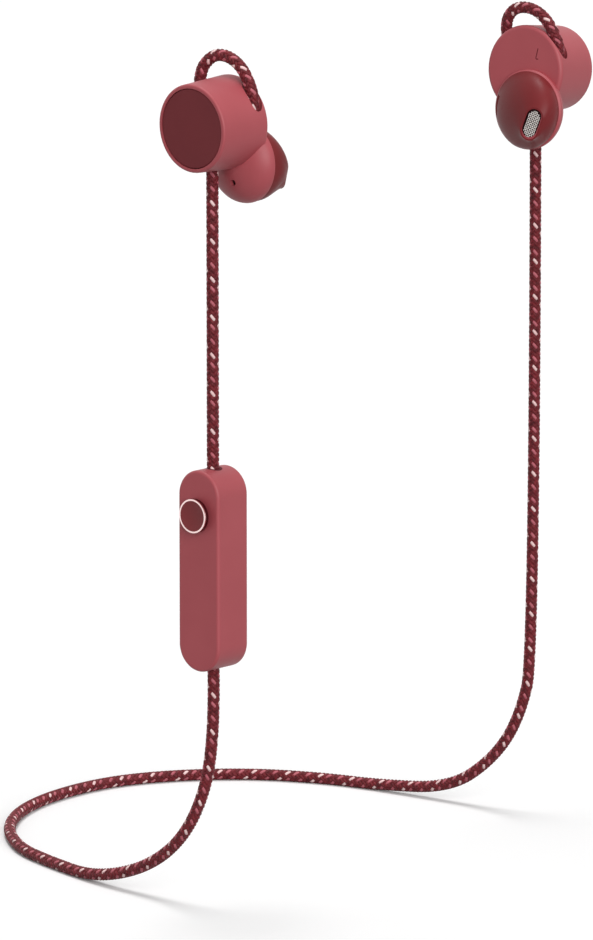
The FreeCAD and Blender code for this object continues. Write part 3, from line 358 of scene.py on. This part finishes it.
STRANDS_EACH_WAY = 8
PALE_STRANDS = (0,)
ROSE_STRANDS = (2, 5)
CURVE_STEPS = 24
RINGS_PER_TURN = 24
STRAND_SIDES = 6
STRAND_HALF_WIDTH = 0.355
STRAND_HALF_THICKNESS = 0.25
WEAVE_RADIUS = 0.94
WEAVE_RISE = 0.17

# How sharply a strand steps from over to under
WEAVE_SHARPNESS = 2.2

# How far the map is drawn out along the strands
MAP_STRETCH = math.sqrt(2)

CORE_RADIUS = 0.70
CORE_SIDES = 8


def cord_curve(name, points):
    """The route as a smooth curve with the route's points as its control points."""
    data = bpy.data.curves.new(name, "CURVE")
    data.dimensions = "3D"
    data.resolution_u = CURVE_STEPS
    spline = data.splines.new("NURBS")
    spline.points.add(len(points) - 1)
    for control, point in zip(spline.points, points):
        control.co = (*(Vector(point) * MM), 1.0)
    spline.order_u = 3
    spline.use_endpoint_u = True
    return data


def centre_line(name, points):
    """Points along the route's curve, in millimetres."""
    data = cord_curve(name, points)
    bare = bpy.data.objects.new(name, data)
    mesh = bpy.data.meshes.new_from_object(bare)
    line = np.array([vertex.co for vertex in mesh.vertices]) / MM
    bpy.data.objects.remove(bare)
    bpy.data.meshes.remove(mesh)
    bpy.data.curves.remove(data)
    return line


def evenly(line, step):
    """The line again with evenly spaced points, and how far along each one is."""
    along = np.concatenate([[0], np.cumsum(np.linalg.norm(np.diff(line, axis=0), axis=1))])
    count = max(3, math.ceil(along[-1] / step) + 1)
    at = np.linspace(0, along[-1], count)
    return np.stack([np.interp(at, along, line[:, axis]) for axis in range(3)], axis=1), at


def unit(vectors):
    """The vectors again, each with a length of one."""
    return vectors / np.linalg.norm(vectors, axis=-1, keepdims=True)


def carried(line, towards):
    """Directions along a line and two across it, untwisted; the first across starts towards a direction."""
    along = unit(np.gradient(line, axis=0))
    across = np.zeros_like(line)
    side = np.array(towards, float)
    for index, direction in enumerate(along):
        side = side - direction * side.dot(direction)
        side = side / np.linalg.norm(side)
        across[index] = side
    return along, across, np.cross(along, across)


def tube_faces(rings, sides):
    """Faces of a closed tube whose points come ring by ring."""
    faces = []
    for ring in range(rings - 1):
        for side in range(sides):
            following = (side + 1) % sides
            low = ring * sides
            high = low + sides
            faces.append((low + side, low + following, high + following, high + side))
    faces.append(tuple(reversed(range(sides))))
    faces.append(tuple(range((rings - 1) * sides, rings * sides)))
    return faces


class Mesh:
    """Points, faces, a map and materials gathered for one object."""

    def __init__(self):
        self.points = []
        self.faces = []
        self.slots = []
        self.map = []
        self.count = 0

    def add(self, points, faces, slot=0, uv=None):
        """uv gives a pair for each point."""
        self.points.append(np.asarray(points, float).reshape(-1, 3))
        for face in faces:
            self.faces.append([index + self.count for index in face])
        self.slots += [slot] * len(faces)
        pairs = np.zeros((len(self.points[-1]), 2)) if uv is None else uv
        self.map.append(np.asarray(pairs, float).reshape(-1, 2))
        self.count += len(self.points[-1])

    def finish(self, name, materials, smooth=True):
        """The object, in metres and in the scene."""
        data = bpy.data.meshes.new(name)
        points = np.concatenate(self.points) * MM
        data.from_pydata(points.tolist(), [], self.faces)
        for material in materials:
            data.materials.append(material)
        data.polygons.foreach_set("material_index", self.slots)
        data.polygons.foreach_set("use_smooth", [smooth] * len(self.faces))
        layer = data.uv_layers.new(name="strand")
        corners = np.zeros(len(data.loops), dtype=np.int32)
        data.loops.foreach_get("vertex_index", corners)
        layer.data.foreach_set("uv", np.concatenate(self.map)[corners].ravel().astype(np.float32))
        data.validate()
        item = bpy.data.objects.new(name, data)
        bpy.context.scene.collection.objects.link(item)
        return item


def strand(line, frames, at, pitch, start, over):
    """The tube of one strand, with its map: over is 1 for strands that turn one way and -1 for the others."""
    along, across, third = frames
    angle = start - over * 2 * math.pi * at / pitch
    radial = across * np.cos(angle)[:, None] + third * np.sin(angle)[:, None]
    crossings = np.cos(STRANDS_EACH_WAY / 2 * angle)
    rise = np.tanh(WEAVE_SHARPNESS * crossings) / math.tanh(WEAVE_SHARPNESS)
    middle = line + radial * (WEAVE_RADIUS + over * WEAVE_RISE * rise)[:, None]
    ahead = unit(np.gradient(middle, axis=0))
    wide = unit(np.cross(radial, ahead))
    thick = np.cross(ahead, wide)
    turns = np.arange(STRAND_SIDES) * 2 * math.pi / STRAND_SIDES
    offsets = wide[:, None] * (STRAND_HALF_WIDTH * np.cos(turns))[None, :, None]
    offsets = offsets + thick[:, None] * (STRAND_HALF_THICKNESS * np.sin(turns))[None, :, None]
    points = middle[:, None] + offsets
    lengthwise = at * MAP_STRETCH / (2 * STRAND_HALF_WIDTH)
    round_it = np.abs(np.arange(STRAND_SIDES) / STRAND_SIDES * 2 - 1)
    uv = np.stack([np.broadcast_to(round_it, (len(at), STRAND_SIDES)),
                   np.broadcast_to(lengthwise[:, None], (len(at), STRAND_SIDES))], axis=2)
    return points, uv


def braid(name, line, pitch, phase, towards, roll):
    """The braid round a line: an object of plain strands and one of coloured strands.

    phase is how far along the pale strand first shows on the side that the braid starts towards.
    roll turns the braid evenly by that much in all.
    """
    line, at = evenly(line, pitch / RINGS_PER_TURN)
    along, across, third = carried(line, towards)
    turn = roll * at / at[-1]
    first = across * np.cos(turn)[:, None] + third * np.sin(turn)[:, None]
    second = np.cross(along, first)
    frames = (along, first, second)
    plain = Mesh()
    coloured = Mesh()
    faces = tube_faces(len(at), STRAND_SIDES)
    for number in range(STRANDS_EACH_WAY):
        for over in (1, -1):
            start = 2 * math.pi * (number + (0.0 if over == 1 else 0.5)) / STRANDS_EACH_WAY
            points, uv = strand(line, frames, at - phase, pitch, start, over)
            if over == 1 and number in PALE_STRANDS:
                coloured.add(points, faces, 0, uv)
            elif over == 1 and number in ROSE_STRANDS:
                coloured.add(points, faces, 1, uv)
            else:
                plain.add(points, faces, 0, uv)
    turns = np.arange(CORE_SIDES) * 2 * math.pi / CORE_SIDES
    core = first[:, None] * np.cos(turns)[None, :, None] + second[:, None] * np.sin(turns)[None, :, None]
    plain.add(line[:, None] + core * CORE_RADIUS, tube_faces(len(at), CORE_SIDES), 1)
    return (plain.finish(name + "_braid", [YARN_DARK, CORE]),
            coloured.finish(name + "_flecks", [YARN_PALE, YARN_ROSE]), line)


def lay_cord(node, points, pitch, phase, towards, roll=0.0):
    """Build one stretch of the cord in place of its plain CAD tube."""
    line = centre_line(node, points)
    plain, coloured, line = braid(node, line, pitch, phase, towards, roll)
    for item in (plain, coloured):
        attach(item, "earphones")
    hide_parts(node)
    tuple(Vector(points[0]) * MM)


# Routes of the cord

# The small loops, each in its own bud's frame, from the back leg to the front one.
# Their second and third points are up to a millimetre from where part.py has them, as photographed.
RIGHT_LOOP = [
    (9.8, 6.3, 3.1), (10.3, 7.45, 9.5), (10.95, 3.9, 14.1), (11.2, -0.9, 14.3), (11.3, -5.4, 11.3),
    (11.05, -8.5, 4.35), (10.75, -6.35, 1.25),
]
LEFT_LOOP = [
    (9.8, 6.3, 3.1), (10.5, 7.8, 8.8), (11.7, 4.9, 13.5), (12.0, -0.6, 14.05), (11.75, -5.15, 11.15),
    (11.05, -8.5, 4.35), (10.75, -6.35, 1.25),
]

# The long stretch as in part.py, in the row frame; points with no height lie on the ground
LONG_ROUTE = [
    (-7.4, 8.1, -143.5), (-4.5, 21.5, -155.2), (-2.5, 39.6, None), (3.5, 59.0, None), (9.5, 72.6, None),
    (24.4, 88.3, None), (44.0, 97.4, None), (66.9, 98.4, None), (83.2, 91.8, None), (97.9, 77.6, None),
    (105.1, 60.6, None), (107.3, 46.6, None), (108.2, 26.4, -159.4), (108.2, 14.1, -150.9),
    (108.3, 6.8, -140.6),
]
BELOW_POD = Vector((0.1, -0.4, -18.5))
BELOW_LEFT = Vector((0.1, -0.5, -124.4))
DEEP = Vector((0, 0, CORD_DEPTH))
HANG = Vector((RIGHT_EXIT.x, RIGHT_EXIT.y, 0))
LEFT_EXIT = on_left(CORD_HOLE)
TO_CAMERA = -FORWARD

# Heights at which the pale strand faces the camera on each hanging stretch
PALE_BELOW_RIGHT = -8.29
PALE_BELOW_POD = -114.64
PALE_BELOW_LEFT = -10.88
HANGING_PITCH = 8.175

# How far along a small loop the pale strand first faces the camera
LOOP_PHASE = 2.6

# The spacing of the points that the long stretch is measured with
ROUTE_STEP = 0.5

right_start = RIGHT_EXIT + DEEP
right_end = HANG + Vector((0, 0, POD_TOP)) - DEEP
right_phase = right_start.z - PALE_BELOW_RIGHT
right_points = [right_start, right_end]
lay_cord("right_cord", right_points, HANGING_PITCH, right_phase, TO_CAMERA)

long_start = HANG + Vector((0, 0, POD_TOP - POD_HEIGHT)) + DEEP
long_end = LEFT_EXIT + DEEP
long_points = [long_start, long_start + BELOW_POD]
long_points += [Vector((x, y, GROUND if z is None else z)) for x, y, z in LONG_ROUTE]
long_points += [long_end + BELOW_LEFT, long_end]


def lay_long_cord():
    """The long stretch, with its pitch and roll set so that its rows face the camera at both ends."""
    line, at = evenly(centre_line("long_route", long_points), ROUTE_STEP)
    along, across, third = carried(line, TO_CAMERA)
    facing = np.array(TO_CAMERA) - along[-1] * np.dot(TO_CAMERA, along[-1])
    final = math.atan2(facing.dot(third[-1]), facing.dot(across[-1]))
    quarter = round(final / (math.pi / 2))
    roll = final - quarter * math.pi / 2
    first = long_start.z - PALE_BELOW_POD
    last = at[-1] - (long_end.z - PALE_BELOW_LEFT)
    turns = round((last - first) / HANGING_PITCH) - quarter / 4
    pitch = (last - first) / turns
    lay_cord("long_cord", long_points, pitch, first, TO_CAMERA, roll)


lay_long_cord()
for node, route, place in (("right_ear_loop", RIGHT_LOOP, on_right), ("left_ear_loop", LEFT_LOOP, on_left)):
    lay_cord(node, [place(point) for point in route], HANGING_PITCH, LOOP_PHASE, TO_CAMERA)


# The woven screens in the nozzles

WIRE_PITCH = 0.42
WIRE_RADIUS = 0.062
WIRE_MARGIN = 0.24
WIRE_SIDES = 5

# How far the middle of the weave stands off its backing, in wire radii
WEAVE_STAND_OFF = 1.6

# How upright a wire is, from 0 to 1, before its sides are measured from another direction
STEEP = 0.7


def slot_half(offset, half_width, half_height):
    """Half the width of the nozzle's slot shape at a height from its middle."""
    reach = half_height - half_width
    beyond = max(0.0, abs(offset) - reach)
    if beyond >= half_width:
        return 0.0
    return math.sqrt(half_width ** 2 - beyond ** 2)


def wire_tube(points):
    """A thin tube through points that lie close to one line."""
    points = np.array(points, float)
    ahead = unit(np.gradient(points, axis=0))
    up = np.array((0, 0, 1.0)) if abs(ahead[0][2]) < STEEP else np.array((0, 1.0, 0))
    side = unit(np.cross(ahead, up))
    other = np.cross(ahead, side)
    turns = np.arange(WIRE_SIDES) * 2 * math.pi / WIRE_SIDES
    ring = side[:, None] * np.cos(turns)[None, :, None] + other[:, None] * np.sin(turns)[None, :, None]
    return points[:, None] + ring * WIRE_RADIUS, tube_faces(len(points), WIRE_SIDES)


def screen_wires(name, place, mirrored):
    """Plain weave of two sets of wires cut to the slot; place turns the nozzle's frame into the row's."""
    gathered = Mesh()
    front = -MESH_DEPTH + WIRE_RADIUS * WEAVE_STAND_OFF
    step = WIRE_PITCH / 2
    half_width = SLOT_HALF_WIDTH - WIRE_MARGIN
    half_height = SLOT_HALF_HEIGHT - WIRE_MARGIN
    for upright in (True, False):
        widest = half_width if upright else half_height
        for number in range(-int(widest / WIRE_PITCH), int(widest / WIRE_PITCH) + 1):
            offset = number * WIRE_PITCH
            if upright:
                reach = half_height - half_width + math.sqrt(half_width ** 2 - offset ** 2)
            else:
                reach = slot_half(offset, half_width, half_height)
            count = int(reach / step)
            if count < 1:
                continue
            points = []
            for index in range(-count, count + 1):
                way = index * step
                crossing = math.cos(math.pi * way / WIRE_PITCH) * (-1) ** number
                lift = WIRE_RADIUS * (crossing if upright else -crossing)
                place_in = (front + lift, offset, way) if upright else (front + lift, way, offset)
                points.append(place(place_in))
            gathered.add(*wire_tube(points))
    item = gathered.finish(name, [WIRE])
    if mirrored:
        item.data.flip_normals()
    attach(item, "earphones")


def in_nozzle(point):
    """A point of the nozzle's own frame, in its bud's frame."""
    turn = Matrix.Rotation(-NOZZLE_TURN, 3, "Z") @ Matrix.Rotation(NOZZLE_ROLL, 3, "X")
    return NOZZLE_END + turn @ Vector(point)


screen_wires("right_nozzle_wires", lambda point: on_right(in_nozzle(point)), False)
screen_wires("left_nozzle_wires", lambda point: on_left(in_nozzle(point)), True)


# The side marks on the flat ear-side faces of the drums: letters recessed in the face, drawn dark as painted
# shade

MARK_PLACE = (-3.1, 3.9)
MARK_WIDTH = 0.20
MARK_RISE = 0.015
LEFT_MARK = [[(0.45, 1.2), (0.0, -0.75), (0.0, -1.1), (0.2, -1.2), (0.6, -1.15)]]
RIGHT_MARK = [
    [(0.35, 1.2), (-0.15, -1.2)],
    [(0.35, 1.2), (0.95, 1.15), (1.15, 0.8), (1.0, 0.3), (0.65, 0.05), (0.1, 0.0)],
    [(0.55, 0.03), (0.85, -1.2)],
]
BOX_FACES = [(0, 1, 2, 3), (7, 6, 5, 4), (0, 4, 5, 1), (1, 5, 6, 2), (2, 6, 7, 3), (3, 7, 4, 0)]


def side_mark(name, strokes, rightwards, place):
    """Thin letter strokes a hair proud of the face, dark as the painted shade of the recessed letters;
    rightwards is 1 where a reader's right is +Y.
    """
    gathered = Mesh()
    for stroke in strokes:
        line = np.array(stroke, float)
        ahead = unit(np.gradient(line, axis=0))
        beside = np.stack([-ahead[:, 1], ahead[:, 0]], axis=1) * MARK_WIDTH / 2
        low = line - beside
        high = line + beside
        for near in range(len(line) - 1):
            flat = [low[near], low[near + 1], high[near + 1], high[near]]
            spots = [(MARK_PLACE[0] + rightwards * across, MARK_PLACE[1] + up) for across, up in flat]
            corners = [(DRUM_LENGTH + MARK_RISE, *spot) for spot in spots]
            corners += [(DRUM_LENGTH - MARK_RISE, *spot) for spot in spots]
            gathered.add([place(corner) for corner in corners], BOX_FACES)
    item = gathered.finish(name, [LETTER_SHADE], False)
    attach(item, "earphones")


side_mark("right_side_mark", RIGHT_MARK, 1, on_right)
side_mark("left_side_mark", LEFT_MARK, -1, on_left)


# Floor and light

# Half the floor's width, in metres
FLOOR_REACH = 4.0

# The floor's colour as it is seen and as it lights the object, and the strength of the light all round
FLOOR_SHOWN = 1.03
FLOOR_BOUNCE = 0.12
WORLD_LEVEL = 0.33


def sees_background(tree):
    """One for a ray that shows the background: from the camera, a mirror or glass."""
    path = tree.nodes.new("ShaderNodeLightPath").outputs
    both = tree.nodes.new("ShaderNodeMath")
    both.operation = "MAXIMUM"
    tree.links.new(path["Is Camera Ray"], both.inputs[0])
    tree.links.new(path["Is Glossy Ray"], both.inputs[1])
    every = tree.nodes.new("ShaderNodeMath")
    every.operation = "MAXIMUM"
    tree.links.new(both.outputs[0], every.inputs[0])
    tree.links.new(path["Is Transmission Ray"], every.inputs[1])
    return every.outputs[0]


def floor():
    """A pale floor, shown to the camera brighter than it lights things, so that all but shadow is white."""
    data = bpy.data.meshes.new("floor")
    sides = ((-1, -1), (1, -1), (1, 1), (-1, 1))
    corners = [(FLOOR_REACH * x, FLOOR_REACH * y, FLOOR * MM) for x, y in sides]
    data.from_pydata(corners, [], [(0, 1, 2, 3)])
    item = bpy.data.objects.new("floor", data)
    bpy.context.scene.collection.objects.link(item)
    graph = Graph("floor_paint")
    tree = graph.tree
    tree.nodes.remove(graph.shader)
    bounced = graph.node("BsdfDiffuse", {"Color": (FLOOR_BOUNCE,) * 3 + (1.0,)}).outputs[0]
    shown = graph.node("BsdfDiffuse", {"Color": (FLOOR_SHOWN,) * 3 + (1.0,)}).outputs[0]
    mixed = graph.node("MixShader", {0: sees_background(tree), 1: bounced, 2: shown}).outputs[0]
    tree.links.new(mixed, tree.nodes["Material Output"].inputs["Surface"])
    data.materials.append(graph.material)


def world(level):
    """Even light from all round, white behind the object."""
    surroundings = bpy.data.worlds.new("surroundings")
    surroundings.use_nodes = True
    tree = surroundings.node_tree
    dim = tree.nodes["Background"]
    dim.inputs["Color"].default_value = WHITE
    dim.inputs["Strength"].default_value = level
    white = tree.nodes.new("ShaderNodeBackground")
    white.inputs["Color"].default_value = WHITE
    white.inputs["Strength"].default_value = 1.0
    mixed = tree.nodes.new("ShaderNodeMixShader")
    tree.links.new(sees_background(tree), mixed.inputs[0])
    tree.links.new(dim.outputs[0], mixed.inputs[1])
    tree.links.new(white.outputs[0], mixed.inputs[2])
    tree.links.new(mixed.outputs[0], tree.nodes["World Output"].inputs["Surface"])
    bpy.context.scene.world = surroundings


def lamp(name, towards, level, spread):
    """A far light, spread in degrees; on a face turned to it, level 1 shows a colour as it is written."""
    data = bpy.data.lights.new(name, "SUN")
    data.energy = level * math.pi
    data.angle = math.radians(spread)
    item = bpy.data.objects.new(name, data)
    bpy.context.scene.collection.objects.link(item)
    item.rotation_mode = "QUATERNION"
    item.rotation_quaternion = Vector(towards).to_track_quat("Z", "Y")


floor()
world(WORLD_LEVEL)
lamp("top_light", towards=(0.05, 0.12, 0.85), level=0.44, spread=26)
lamp("front_light", towards=(-0.60, -0.85, 0.35), level=0.76, spread=50)
